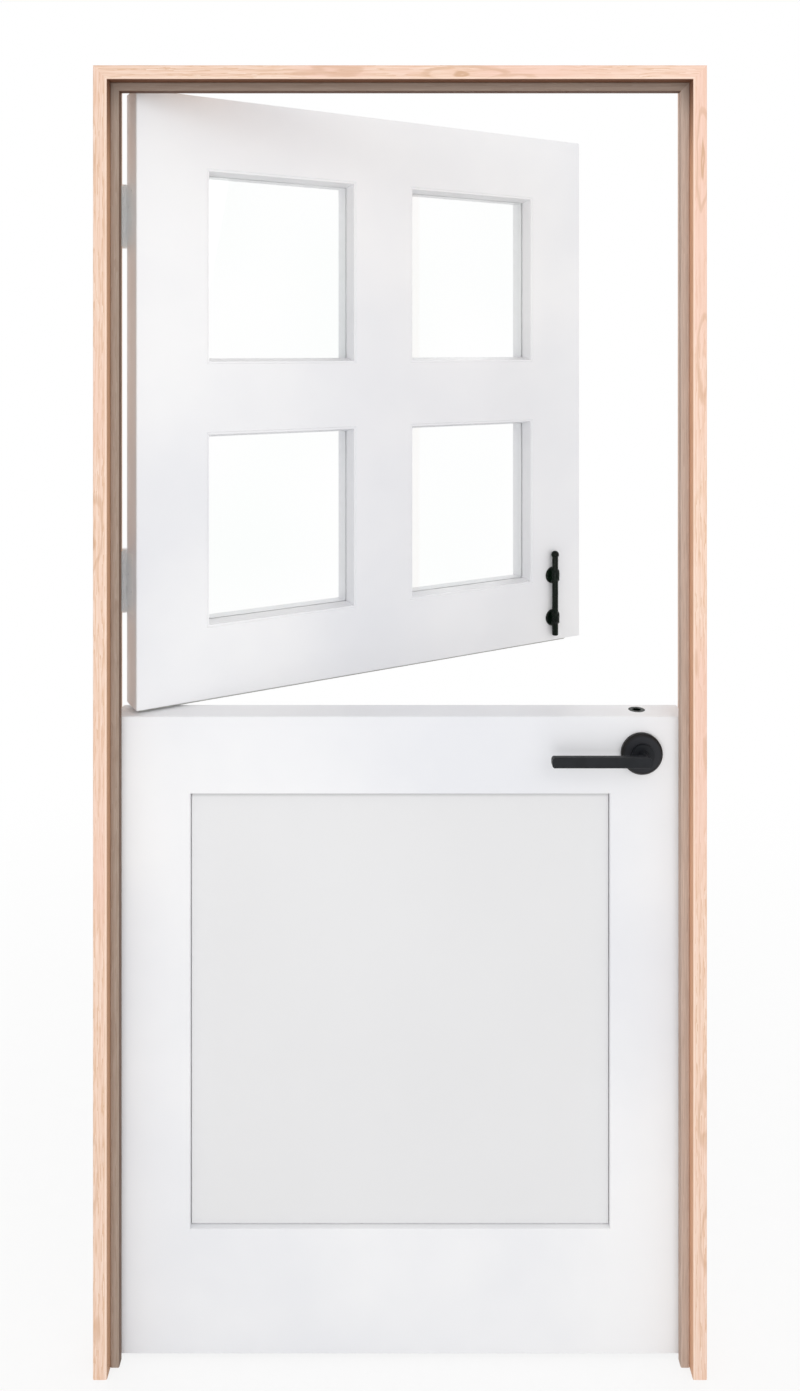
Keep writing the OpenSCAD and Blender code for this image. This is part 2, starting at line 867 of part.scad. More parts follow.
// Four beads that hold a pane from the front
module glazing_beads(i, j) {
    color(white_paint) swing_upper() translate([lite_x(i), 0, lite_z(j)]) {
        bead(lite_w);
        translate([0, 0, lite_h]) mirror([0, 0, 1]) bead(lite_w);
        translate([lite_w, 0, 0]) rotate([0, -90, 0]) bead(lite_h);
        mirror([1, 0, 0]) rotate([0, -90, 0]) bead(lite_h);
    }
}

module glazing_beads_1() {
    glazing_beads(0, 0);
}

module glazing_beads_2() {
    glazing_beads(1, 0);
}

module glazing_beads_3() {
    glazing_beads(0, 1);
}

module glazing_beads_4() {
    glazing_beads(1, 1);
}

// Rubber strip with a fin, under the bottom edge of the upper leaf
module meeting_seal() {
    y0 = seal_front;
    fin_y = y0 + (seal_w - seal_fin_t) / 2;
    base = upper_z0 - seal_base_t;
    tip = upper_z0 - seal_h;
    color(grey_rubber) swing_upper()
        along_x(hinge_edge + seal_hinge_inset, lock_edge - seal_lock_inset)
            polygon([
                [y0, upper_z0], [y0 + seal_w, upper_z0], [y0 + seal_w, base], [fin_y + seal_fin_t, base],
                [fin_y + seal_fin_t, tip], [fin_y, tip], [fin_y, base], [y0, base]
            ]);
}

module leaf_hinge(z) {
    color(white_metal) at_hinge(z) hinge_half(1);
}

module upper_leaf_hinge_1() {
    swing_upper() leaf_hinge(upper_hinge_low);
}

module upper_leaf_hinge_2() {
    swing_upper() leaf_hinge(upper_hinge_high);
}

module upper_hinge_screws() {
    color(white_metal) swing_upper()
        for (z = [upper_hinge_low, upper_hinge_high]) at_hinge(z) at_hinge_screws() wood_screw();
}

// Bolt

module guide_pegs(z, d, length) {
    for (side = [-1, 1]) rod_y(d, -over, length, lock_x + side * guide_peg_offset, z);
}

// Round base with a bevelled edge, an upright barrel in front that is rounded to a ball, and two pegs
module bolt_guide(z) {
    barrel_w = bolt_d + 2 * guide_wall;
    half = guide_d / 2;
    difference() {
        union() {
            translate([lock_x, 0, z]) rotate([90, 0, 0])
                rotate_extrude()
                    polygon([
                        [0, 0], [half, 0], [half, guide_t - metal_bevel],
                        [half - metal_bevel, guide_t], [0, guide_t]
                    ]);
            guide_pegs(z, guide_peg_d, guide_peg_l);
            intersection() {
                translate([lock_x, -guide_round_y, z]) sphere(d = guide_d);
                union() {
                    rod_z(barrel_w, z - half, z + half, lock_x, -bolt_standoff);
                    span(
                        [lock_x - barrel_w / 2, -bolt_standoff, z - half],
                        [lock_x + barrel_w / 2, over - guide_t, z + half]
                    );
                }
            }
        }
        rod_z(bolt_d + 2 * run_fit, z - guide_d, z + guide_d, lock_x, -bolt_standoff);
    }
}

module lower_bolt_guide() {
    color(black_metal) swing_upper() difference() {
        bolt_guide(guide_heights[0]);
        stud_slot();
    }
}

module upper_bolt_guide() {
    color(black_metal) swing_upper() bolt_guide(guide_heights[1]);
}

module bolt_rod() {
    ball_z = bolt_tip + bolt_l - ball_d / 2;
    color(black_metal) swing_upper() difference() {
        union() {
            translate([lock_x, -bolt_standoff, bolt_tip])
                cylinder(d1 = bolt_d - 2 * metal_bevel, d2 = bolt_d, h = metal_bevel);
            rod_z(bolt_d, bolt_tip + metal_bevel, ball_z, lock_x, -bolt_standoff);
            translate([lock_x, -bolt_standoff, ball_z]) sphere(d = ball_d);
        }
        rod_y(stud_d + 2 * run_fit, -bolt_standoff, bolt_d - bolt_standoff, lock_x, stud_z);
    }
}

module bolt_link() {
    color(black_metal) swing_upper() rod_y(stud_d, -bolt_standoff, shoot_depth, lock_x, stud_z);
}

module bolt_shoot() {
    color(black_metal) swing_upper() difference() {
        rod_z(shoot_d, shoot_tip, shoot_tip + shoot_l, lock_x, shoot_depth);
        rod_y(stud_d + 2 * run_fit, shoot_depth - shoot_d, shoot_depth, lock_x, stud_z);
    }
}

// Lower leaf

module lower_stick(x0, x1, z0, z1) {
    intersection() {
        span([x0, 0, z0], [x1, leaf_t, z1]);
        eased_leaf(lower_z0, lower_z1);
    }
}

// Easing of the panel's opening on both faces and the groove round it
module panel_cut() {
    hole_easing(hinge_inner, lock_inner, panel_z0, panel_z1, 0, 1);
    hole_easing(hinge_inner, lock_inner, panel_z0, panel_z1, leaf_t, -1);
    depth = panel_tongue_l + panel_room;
    half_t = panel_tongue_t / 2 + joint_room;
    span(
        [hinge_inner - depth, mid_y - half_t, panel_z0 - depth],
        [lock_inner + depth, mid_y + half_t, panel_z1 + depth]
    );
}

// Bores for the lever set and the latch case
module lock_bores() {
    rod_y(cross_bore_d, -over, leaf_t + over, lock_x, lock_z);
    rod_x(case_d + 2 * case_room, lock_x - case_tail - over, lock_edge + over, mid_y, lock_z);
}

lower_rail_spans = [[lower_z0, panel_z0], [panel_z1, lower_z1]];

module lower_hinge_stile() {
    color(white_paint) difference() {
        lower_stick(hinge_edge, hinge_inner, lower_z0, lower_z1);
        panel_cut();
        for (s = lower_rail_spans) side_tenon(hinge_inner, -1, s[0], s[1], joint_room);
        for (z = [lower_hinge_low, lower_hinge_high]) at_hinge(z) hinge_seat();
    }
}

module lower_lock_stile() {
    color(white_paint) difference() {
        lower_stick(lock_inner, lock_edge, lower_z0, lower_z1);
        panel_cut();
        for (s = lower_rail_spans) side_tenon(lock_inner, 1, s[0], s[1], joint_room);
        lock_bores();
        faceplate_seat();
        keeper_seat();
    }
}

module lower_rail(s) {
    color(white_paint) difference() {
        union() {
            lower_stick(hinge_inner, lock_inner, s[0], s[1]);
            side_tenon(hinge_inner, -1, s[0], s[1]);
            side_tenon(lock_inner, 1, s[0], s[1]);
        }
        panel_cut();
        lock_bores();
    }
}

module lower_top_rail() {
    lower_rail(lower_rail_spans[1]);
}

module lower_bottom_rail() {
    lower_rail(lower_rail_spans[0]);
}

// Flat panel with a tongue round its edge
module lower_panel() {
    half_t = panel_tongue_t / 2;
    room = panel_room;
    tongue = panel_tongue_l;
    color(white_paint) {
        span(
            [hinge_inner + room, panel_recess, panel_z0 + room],
            [lock_inner - room, leaf_t - panel_recess, panel_z1 - room]
        );
        span(
            [hinge_inner - tongue, mid_y - half_t, panel_z0 - tongue],
            [lock_inner + tongue, mid_y + half_t, panel_z1 + tongue]
        );
    }
}

module lower_leaf_hinge_1() {
    leaf_hinge(lower_hinge_low);
}

module lower_leaf_hinge_2() {
    leaf_hinge(lower_hinge_high);
}

module lower_hinge_screws() {
    color(white_metal)
        for (z = [lower_hinge_low, lower_hinge_high]) at_hinge(z) at_hinge_screws() wood_screw();
}

// Keeper

keeper_bore_r = shoot_d / 2 + keeper_room;
keeper_tube_r = keeper_bore_r + keeper_wall;

module keeper_seat() {
    top = lower_z1 + over;
    floor = lower_z1 - keeper_depth - run_fit;
    rod_z(2 * (keeper_tube_r + run_fit), floor, top, lock_x, shoot_depth);
    rod_z(keeper_d + 2 * run_fit, lower_z1 - keeper_t, top, lock_x, shoot_depth);
}

// Flanged cup, flush with the top edge of the lower leaf
module bolt_keeper() {
    flange_r = keeper_d / 2;
    color(black_metal) translate([lock_x, shoot_depth, lower_z1])
        rotate_extrude()
            polygon([
                [0, -keeper_depth], [keeper_tube_r, -keeper_depth], [keeper_tube_r, -keeper_t],
                [flange_r, -keeper_t], [flange_r, 0], [keeper_bore_r, 0],
                [keeper_bore_r, keeper_wall - keeper_depth], [0, keeper_wall - keeper_depth]
            ]);
}

// Lever set

// Round bevelled rose with a bore for the lever's journal and blind holes for the bolts
module rose() {
    difference() {
        translate([lock_x, 0, lock_z]) rotate([90, 0, 0])
            rotate_extrude()
                polygon([
                    [0, 0], [rose_d / 2, 0], [rose_d / 2, rose_t - rose_bevel],
                    [rose_d / 2 - rose_bevel, rose_t], [0, rose_t]
                ]);
        rod_y(journal_d + 2 * run_fit, -rose_t - over, over, lock_x, lock_z);
        at_rose_bolts(rose_bolt_d + 2 * run_fit, run_fit);
    }
}

module at_rose_bolts(d, room) {
    reach = rose_bolt_hold + room;
    for (side = [-1, 1]) rod_y(d, -reach, leaf_t + reach, lock_x, lock_z + side * rose_bolt_offset);
}

module front_rose() {
    color(black_metal) rose();
}

module back_rose() {
    color(black_metal) on_back() rose();
}

module rose_bolts() {
    color(satin_steel) at_rose_bolts(rose_bolt_d, 0);
}

// Front view of the lever's bar: a round end on the spindle and a rounded tip
module lever_outline() {
    tip = lock_x - lever_l;
    half_h = lever_h / 2;
    round_rect(tip, lock_x, lock_z - half_h, lock_z + half_h, lever_tip_r);
    translate([lock_x - half_h, lock_z - half_h]) square([half_h, lever_h]);
    translate([lock_x, lock_z]) circle(half_h);
}

// Lever with bar, neck, collar and a journal that turns in the rose
module lever() {
    bar_back = lever_t - lever_reach;
    collar_back = -rose_t - collar_gap;
    half_h = lever_h / 2;
    difference() {
        union() {
            intersection() {
                along_y(-lever_reach, bar_back) lever_outline();
                along_x(lock_x - lever_l - over, lock_x + half_h + over)
                    round_rect(-lever_reach, bar_back, lock_z - half_h, lock_z + half_h, lever_edge_r);
            }
            rod_y(neck_d, bar_back - lever_t / 2, collar_back, lock_x, lock_z);
            rod_y(collar_d, collar_back - collar_t, collar_back, lock_x, lock_z);
            rod_y(journal_d, collar_back - over, -over, lock_x, lock_z);
        }
        spindle_shape(run_fit);
    }
}

// Square spindle, or its socket when room is given
module spindle_shape(room) {
    half_w = spindle_w / 2 + room;
    span(
        [lock_x - half_w, -spindle_reach - room, lock_z - half_w],
        [lock_x + half_w, leaf_t + spindle_reach + room, lock_z + half_w]
    );
}

module front_lever() {
    color(black_metal) lever();
}

module back_lever() {
    color(black_metal) on_back() lever();
}

module lever_spindle() {
    color(satin_steel) spindle_shape(0);
}

// Hub on the spindle with a finger that draws the latch bolt back
module latch_cam() {
    color(satin_steel) difference() {
        union() {
            rod_y(cam_d, mid_y - cam_l / 2, mid_y + cam_l / 2, lock_x, lock_z);
            span(
                [lock_x - finger_w / 2, mid_y - finger_t / 2, lock_z],
                [lock_x + finger_w / 2, mid_y + finger_t / 2, lock_z + finger_r]
            );
            rod_y(finger_w, mid_y - finger_t / 2, mid_y + finger_t / 2, lock_x, lock_z + finger_r);
        }
        spindle_shape(run_fit);
    }
}

// Latch

// Round case with a channel for the bolt, a slot for its tail and bearings for the cam
module latch_case() {
    rear = lock_x - case_tail;
    half_w = latch_w / 2 + latch_room;
    half_h = latch_h / 2 + latch_room;
    half_tail = tail_w / 2 + latch_room;
    slot_front = lock_edge - latch_head_l + tail_t + latch_room;
    color(satin_steel) difference() {
        rod_x(case_d, rear, lock_edge - faceplate_t, mid_y, lock_z);
        span([rear - over, mid_y - half_w, lock_z - half_h], [lock_edge, mid_y + half_w, lock_z + half_h]);
        span([rear - over, mid_y - half_tail, lock_z], [slot_front, mid_y + half_tail, lock_z + case_d]);
        rod_y(cam_d + 2 * run_fit, mid_y - case_d, mid_y + case_d, lock_x, lock_z);
    }
}

module at_faceplate_screws() {
    half = faceplate_screws_apart / 2;
    for (z = [lock_z - half, lock_z + half]) translate([lock_edge, mid_y, z]) mirror([1, 0, 0]) children();
}

module faceplate_blank(x1) {
    half_w = faceplate_w / 2;
    half_h = faceplate_h / 2;
    along_x(lock_edge - faceplate_t, x1)
        round_rect(mid_y - half_w, mid_y + half_w, lock_z - half_h, lock_z + half_h, plate_r);
}

module faceplate_seat() {
    faceplate_blank(lock_edge + over);
    at_faceplate_screws() screw_hole();
}

module latch_faceplate() {
    half_w = latch_w / 2 + latch_room;
    half_h = latch_h / 2 + latch_room;
    color(black_metal) difference() {
        faceplate_blank(lock_edge);
        span(
            [lock_edge - faceplate_t - over, mid_y - half_w, lock_z - half_h],
            [lock_edge + over, mid_y + half_w, lock_z + half_h]
        );
        at_faceplate_screws() screw_hole();
    }
}

module faceplate_screws() {
    color(black_metal) at_faceplate_screws() wood_screw();
}

// Latch bolt: bevelled head and a flat tail with a window for the cam's finger
module latch_bolt() {
    nose = lock_edge + latch_throw;
    head_back = lock_edge - latch_head_l;
    y0 = mid_y - latch_w / 2;
    y1 = mid_y + latch_w / 2;
    window_half = finger_t / 2 + latch_room;
    color(satin_steel) difference() {
        union() {
            along_z(lock_z - latch_h / 2, lock_z + latch_h / 2)
                polygon([
                    [head_back, y0], [nose - latch_bevel, y0], [nose, y1 - latch_nose],
                    [nose, y1], [head_back, y1]
                ]);
            span(
                [lock_x - tail_l, mid_y - tail_w / 2, lock_z + tail_low],
                [head_back + tail_t, mid_y + tail_w / 2, lock_z + tail_low + tail_t]
            );
        }
        span(
            [lock_x - finger_w / 2 - latch_room, mid_y - window_half, lock_z],
            [lock_x + tail_l, mid_y + window_half, lock_z + case_d]
        );
    }
}

hinge_jamb();
strike_jamb();
head_jamb();
hinge_stop();
strike_stop();
head_stop();
jamb_hinge_1();
jamb_hinge_2();
jamb_hinge_3();
jamb_hinge_4();
hinge_pins();
jamb_hinge_screws();
strike_plate();
strike_screws();
upper_hinge_stile();
upper_lock_stile();
upper_top_rail();
upper_bottom_rail();
upper_mullion();
hinge_side_cross_bar();
lock_side_cross_bar();
glass_1();
glass_2();
glass_3();
glass_4();
glazing_beads_1();
glazing_beads_2();
glazing_beads_3();
glazing_beads_4();
meeting_seal();
upper_leaf_hinge_1();
upper_leaf_hinge_2();
upper_hinge_screws();
lower_bolt_guide();
upper_bolt_guide();
bolt_rod();
bolt_link();
bolt_shoot();
lower_hinge_stile();
lower_lock_stile();
lower_top_rail();
lower_bottom_rail();
lower_panel();
bolt_keeper();
lower_leaf_hinge_1();
lower_leaf_hinge_2();
lower_hinge_screws();
front_rose();
back_rose();
rose_bolts();
latch_case();
latch_faceplate();
faceplate_screws();
front_lever();
back_lever();
lever_spindle();
latch_cam();
latch_bolt();
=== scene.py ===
import json
import math

import bpy
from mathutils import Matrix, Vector


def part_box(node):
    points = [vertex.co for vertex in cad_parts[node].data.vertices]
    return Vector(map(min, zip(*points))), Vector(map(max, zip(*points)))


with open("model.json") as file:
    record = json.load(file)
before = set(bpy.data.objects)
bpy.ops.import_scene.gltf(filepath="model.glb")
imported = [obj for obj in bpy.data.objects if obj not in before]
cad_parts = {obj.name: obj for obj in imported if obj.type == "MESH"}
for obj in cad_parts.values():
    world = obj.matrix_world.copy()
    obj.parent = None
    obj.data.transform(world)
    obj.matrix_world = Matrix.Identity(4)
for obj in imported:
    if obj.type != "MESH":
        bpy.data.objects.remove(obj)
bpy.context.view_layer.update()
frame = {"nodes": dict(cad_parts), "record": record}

# Picture that the camera is set for, in pixels
PHOTO_H = 1391
HORIZON_PX = 350
FOCAL_PX = 1060

# Camera in metres, and its sensor in millimetres
CAMERA_DISTANCE = 1.70
CAMERA_HEIGHT = 1.616
SENSOR_MM = 36

# Square lamps in metres and watts: name, place, side and power
LAMPS = (
    ("key_lamp", (1.2, -2.0, 2.4), 1.5, 9),
    ("fill_lamp", (-0.6, -3.2, 0.35), 2.0, 21),
    ("back_lamp", (0.9, 2.4, 3.4), 1.6, 8),
)
LAMP_TARGET = (0, 0, 1.1)
SKY_STRENGTH = 0.86
WHITE = (1, 1, 1, 1)

# Floor in metres, and the share of plain white that it shows up to FLOOR_NEAR, rising to all at FLOOR_FAR
FLOOR_RADIUS = 9.0
FLOOR_SIDES = 96
FLOOR_WHITE = 0.82
FLOOR_NEAR = 0.36
FLOOR_FAR = 2.7

# Faces of the door that the staining, the paint and the painted shade and highlight follow, in metres
JAMB_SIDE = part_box("strike_jamb")[0].x
HEAD_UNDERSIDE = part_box("head_jamb")[0].z
STOP_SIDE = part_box("strike_stop")[0].x
STOP_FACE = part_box("strike_stop")[0].y
STOP_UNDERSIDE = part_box("head_stop")[0].z
PANEL_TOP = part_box("lower_top_rail")[0].z

# How far below the head the jambs and the stops get painted shade, and how far that goes up the head stop, in
# metres
JAMB_SHADE = 0.16
STOP_SHADE = 0.05
STOP_SHADE_UP = 0.014

# Painted shadow along the panel's top, under the rail: where its grey line starts to fade and where it ends,
# in metres below PANEL_TOP
SHADOW_LINE_FADE = 0.0045
SHADOW_LINE_END = 0.0095

# Place in the noise that the white paint's cloudy tone is taken from, chosen so that a darker patch lies on
# the lower leaf's top rail as painted shade
CLOUDY_SHADE_PLACE = (7.5, 2.5, 0)

# Range in which most values of a noise lie
NOISE_LOW, NOISE_HIGH = 0.3, 0.7

NODES = frame["nodes"]
SLOTS = {s["node"]: s["material_slot"] for s in frame["record"]["subparts"]}
BOLT_NODES = ("lower_bolt_guide", "upper_bolt_guide", "bolt_rod", "bolt_link", "bolt_shoot", "bolt_keeper")


def srgb(red, green, blue):
    """Shader colour for a colour as it shows on a screen, 0 to 255."""
    def linear(value):
        c = value / 255
        return c / 12.92 if c <= 0.04045 else ((c + 0.055) / 1.055) ** 2.4
    return (linear(red), linear(green), linear(blue), 1.0)


class Nodes:
    """A tree of shader nodes, with short calls to add and join them."""

    def __init__(self, tree):
        self.tree = tree

    def add(self, kind, **settings):
        node = self.tree.nodes.new("ShaderNode" + kind)
        for key, value in settings.items():
            setattr(node, key, value)
        return node

    def feed(self, socket, value):
        """Joins a socket to an output, or sets it where the value is a plain one."""
        if isinstance(value, bpy.types.NodeSocket):
            self.tree.links.new(value, socket)
        else:
            socket.default_value = value

    def fill(self, node, **values):
        """Feeds a node's sockets by name, with _ for a space."""
        for key, value in values.items():
            self.feed(node.inputs[key.replace("_", " ")], value)

    def chain(self, node, *values):
        """Feeds a node's first sockets in order."""
        for socket, value in zip(node.inputs, values):
            self.feed(socket, value)

    def math(self, operation, a, b=0.0):
        node = self.add("Math", operation=operation)
        self.chain(node, a, b)
        return node.outputs[0]

    def pick(self, factor, shader, other):
        """The first shader where the factor is 0, the other where it is 1."""
        node = self.add("MixShader")
        self.chain(node, factor, shader, other)
        return node.outputs[0]

    def seen_directly(self):
        """1 for rays from the camera and for those that a mirror or glass sends on, else 0."""
        path = self.add("LightPath").outputs
        either = self.math("MAXIMUM", path["Is Camera Ray"], path["Is Glossy Ray"])
        return self.math("MAXIMUM", either, path["Is Transmission Ray"])


class Material(Nodes):
    """One material's nodes, with the patterns that the finishes are made of. Scales are per metre."""

    def __init__(self, name):
        self.data = bpy.data.materials.new(name)
        self.data.use_nodes = True
        super().__init__(self.data.node_tree)
        self.surface = self.tree.nodes["Principled BSDF"]
        self.place = self.add("TexCoord").outputs["Object"]

    def set(self, **values):
        """Feeds the surface's own sockets."""
        self.fill(self.surface, **values)

    def show(self, shader):
        """Takes a shader for the surface in place of the plain one."""
        self.feed(self.tree.nodes["Material Output"].inputs["Surface"], shader)

    def axis(self, name):
        """One coordinate of the place."""
        node = self.add("SeparateXYZ")
        self.chain(node, self.place)
        return node.outputs[name]

    def mapped(self, **values):
        """The place, scaled, turned and moved."""
        node = self.add("Mapping")
        self.fill(node, Vector=self.place, **values)
        return node.outputs["Vector"]

    def length(self, vector):
        node = self.add("VectorMath", operation="LENGTH")
        self.chain(node, vector)
        return node.outputs["Value"]

    def noise(self, vector, scale, detail=3.0, roughness=0.5):
        node = self.add("TexNoise")
        self.fill(node, Vector=vector, Scale=scale, Detail=detail, Roughness=roughness)
        return node.outputs["Fac"]

    def rings(self, vector, scale, distortion, detail_scale):
        """Growth rings round the vector's Z axis."""
        node = self.add("TexWave", wave_type="RINGS", rings_direction="Z", wave_profile="SAW")
        self.fill(node, Vector=vector, Scale=scale, Distortion=distortion)
        self.fill(node, Detail=2.0, Detail_Scale=detail_scale)
        return node.outputs["Fac"]

    def knots(self, vector, arcs):
        """Dark arcs of grain round a few knots, fading away from each."""
        wobble = self.add("TexNoise")
        self.fill(wobble, Vector=vector, Scale=1.4)
        bent = self.add("VectorMath", operation="MULTIPLY_ADD")
        self.chain(bent, wobble.outputs["Color"], (0.7, 0.7, 0.7), vector)
        cells = self.add("TexVoronoi", feature="F1")
        self.fill(cells, Vector=bent.outputs["Vector"], Scale=1.0)
        away = cells.outputs["Distance"]
        line = self.math("SINE", self.math("MULTIPLY", away, 2 * math.pi * arcs))
        near = self.span(away, 0.1, 0.55, 1.0, 0.0)
        draw = self.add("SeparateColor")
        self.chain(draw, cells.outputs["Color"])
        chosen = self.math("MULTIPLY", near, self.span(draw.outputs["Red"], 0.42, 0.5))
        return self.math("MULTIPLY", self.span(line, 0.0, 1.0), chosen)

    def ramp(self, factor, *stops):
        """Colour ramp through (position, colour) stops."""
        node = self.add("ValToRGB")
        self.chain(node, factor)
        elements = node.color_ramp.elements
        while len(elements) < len(stops):
            elements.new(0.5)
        for element, (position, colour) in zip(elements, stops):
            element.position = position
            element.color = colour
        return node.outputs["Color"]

    def span(self, value, low, high, to_low=0.0, to_high=1.0):
        """The value, carried over smoothly from one range to another."""
        node = self.add("MapRange", interpolation_type="SMOOTHSTEP")
        self.fill(node, Value=value, From_Min=low, From_Max=high, To_Min=to_low, To_Max=to_high)
        return node.outputs["Result"]

    def mix(self, factor, a, b):
        """Colour a where the factor is 0, colour b where it is 1."""
        node = self.add("Mix", data_type="RGBA")
        self.fill(node, Factor=factor, A=a, B=b)
        return node.outputs["Result"]

    def roughen(self, pattern, low, high):
        """Roughness from low to high, as a pattern goes."""
        self.set(Roughness=self.span(pattern, NOISE_LOW, NOISE_HIGH, low, high))

    def bump(self, height, strength, depth):
        node = self.add("Bump")
        self.fill(node, Height=height, Strength=strength, Distance=depth)
        self.set(Normal=node.outputs["Normal"])


def painted_white(name, light, dark, shadow_line_top=None):
    """Satin paint with cloudy tone, in part painted shade, a fine roller stipple, and a grey line of painted
    shadow just below shadow_line_top.
    """
    m = Material(name)
    # Cloudy tone of the paint, random in part and in part painted shade, with its darker patch on the lower
    # leaf's top rail
    cloudy_shade = m.noise(m.mapped(Location=CLOUDY_SHADE_PLACE), scale=1.8, detail=4.0)
    colour = m.ramp(cloudy_shade, (0.36, dark), (0.66, light))
    if shadow_line_top is not None:
        # Painted shadow: a grey line just below the top edge, where the rail above shades the panel
        below = m.math("SUBTRACT", shadow_line_top, m.axis("Z"))
        colour = m.mix(m.span(below, SHADOW_LINE_FADE, SHADOW_LINE_END, 1.0, 0.0), colour, srgb(206, 206, 207))
    m.set(Base_Color=colour, Specular_IOR_Level=0.4)
    m.roughen(m.noise(m.place, scale=14.0), 0.34, 0.46)
    m.bump(m.noise(m.place, scale=620.0, detail=2.0), strength=0.06, depth=0.0006)
    return m.data


def wood_figure(m, grain_axis, offset):
    """Growth rings, fibre and knots of a board whose grain runs along X or Z, as three factors."""
    place = m.place
    if grain_axis == "X":
        m.place = m.mapped(Rotation=(0, math.pi / 2, 0))
    ring_place = m.mapped(Scale=(1, 1, 0.05), Location=offset)
    rings = m.rings(ring_place, scale=46.0, distortion=7.5, detail_scale=9.0)
    fibre_place = m.mapped(Scale=(1, 1, 0.016), Location=offset)
    fibres = m.noise(fibre_place, scale=700.0, detail=2.0, roughness=0.6)
    knots = m.knots(m.mapped(Scale=(26, 26, 5.5), Location=offset), arcs=4.0)
    m.place = place
    return rings, fibres, knots


def wood_surface(m, fibres, rough_low, rough_high, shine):
    """Planed surface that follows the fibres."""
    m.roughen(fibres, rough_low, rough_high)
    m.set(Specular_IOR_Level=shine)
    m.bump(fibres, strength=0.12, depth=0.0004)


def doorway_mask(m, side, underside, past, fade):
    """1 towards the doorway, up to past beyond the faces at the side and above, then fading out over fade."""
    across = m.span(m.math("ABSOLUTE", m.axis("X")), side + past, side + past + fade, 1.0, 0.0)
    below = m.span(m.axis("Z"), underside + past, underside + past + fade, 1.0, 0.0)
    return m.math("MULTIPLY", across, below)


def pine(name, grain_axis, offset, reveal_light, reveal_dark):
    """Planed pine with a painted highlight that pales its edges and faces towards the doorway, and brown
    staining with painted shade on the reveal before the stop.
    """
    m = Material(name)
    rings, fibres, knots = wood_figure(m, grain_axis, offset)
    early, middle, late = srgb(248, 222, 205), srgb(242, 209, 188), srgb(226, 187, 156)
    bare = m.ramp(rings, (0.0, early), (0.6, middle), (0.94, late))
    warm = m.noise(m.mapped(Scale=(1, 1, 0.35), Location=offset), scale=5.0, detail=2.0)
    bare = m.mix(m.span(warm, 0.42, 0.64, 0.0, 0.6), bare, srgb(243, 203, 187))
    bare = m.mix(m.span(fibres, 0.35, 0.75, 0.0, 0.2), bare, srgb(222, 182, 150))
    bare = m.mix(m.math("MULTIPLY", knots, 0.8), bare, srgb(208, 166, 132))
    # Painted highlight: paler pine on the faces towards the doorway and along their front edges
    painted_highlight = doorway_mask(m, JAMB_SIDE, HEAD_UNDERSIDE, past=0.0015, fade=0.003)
    bare = m.mix(m.math("MULTIPLY", painted_highlight, 0.6), bare, srgb(254, 229, 210))
    # Brown staining on the reveal, with painted shade in its colours: darker at the hinge jamb and the head
    # than at the strike jamb
    reveal_colour = m.mix(m.span(fibres, NOISE_LOW, NOISE_HIGH), reveal_light, reveal_dark)
    # Painted shade, darkening the reveal towards the head
    shade = m.span(m.axis("Z"), HEAD_UNDERSIDE - JAMB_SHADE, HEAD_UNDERSIDE, 0.0, 0.8)
    reveal_colour = m.mix(shade, reveal_colour, srgb(98, 55, 33))
    facing = doorway_mask(m, JAMB_SIDE, HEAD_UNDERSIDE, past=0.0001, fade=0.0007)
    before_stop = m.span(m.axis("Y"), STOP_FACE, STOP_FACE + 0.002, 1.0, 0.0)
    m.set(Base_Color=m.mix(m.math("MULTIPLY", facing, before_stop), bare, reveal_colour))
    wood_surface(m, fibres, 0.48, 0.62, shine=0.35)
    return m.data


def shaded_stop(name, grain_axis, offset, light, dark, inner):
    """Stop of pine with taupe staining and painted shade: its face darkens towards the head as a painted
    shadow, and its side towards the doorway takes a colour of its own, set as painted shade, deepest at the
    hinge stop and the head stop.
    """
    m = Material(name)
    rings, fibres, knots = wood_figure(m, grain_axis, offset)
    face = m.ramp(rings, (0.0, light), (0.9, dark))
    face = m.mix(m.span(fibres, 0.35, 0.75, 0.0, 0.3), face, srgb(150, 126, 108))
    face = m.mix(m.math("MULTIPLY", knots, 0.25), face, srgb(128, 104, 88))
    # Painted shadow of the head on the stops' faces, darkest at the top
    shade = m.span(m.axis("Z"), STOP_UNDERSIDE - STOP_SHADE, STOP_UNDERSIDE + STOP_SHADE_UP, 0.0, 0.5)
    face = m.mix(shade, face, srgb(108, 94, 84))
    # Side towards the doorway in the stop's own colour of painted shade
    side = m.mix(m.span(fibres, NOISE_LOW, NOISE_HIGH, 0.0, 0.5), inner, srgb(104, 76, 58))
    facing = doorway_mask(m, STOP_SIDE, STOP_UNDERSIDE, past=0.0003, fade=0.0006)
    m.set(Base_Color=m.mix(facing, face, side))
    wood_surface(m, fibres, 0.5, 0.64, shine=0.3)
    return m.data


def metal_tooth(m, rough_low, rough_high, shine):
    """Fine tooth of a coat on metal."""
    m.roughen(m.noise(m.place, scale=220.0), rough_low, rough_high)
    m.set(Specular_IOR_Level=shine)
    m.bump(m.noise(m.place, scale=2600.0, detail=2.0), strength=0.08, depth=0.0002)


def black_metal(name, light, dark, rough_low, rough_high, shine):
    """Black finish on metal."""
    m = Material(name)
    m.set(Base_Color=m.ramp(m.noise(m.place, scale=60.0), (0.35, dark), (0.65, light)))
    metal_tooth(m, rough_low, rough_high, shine)
    return m.data


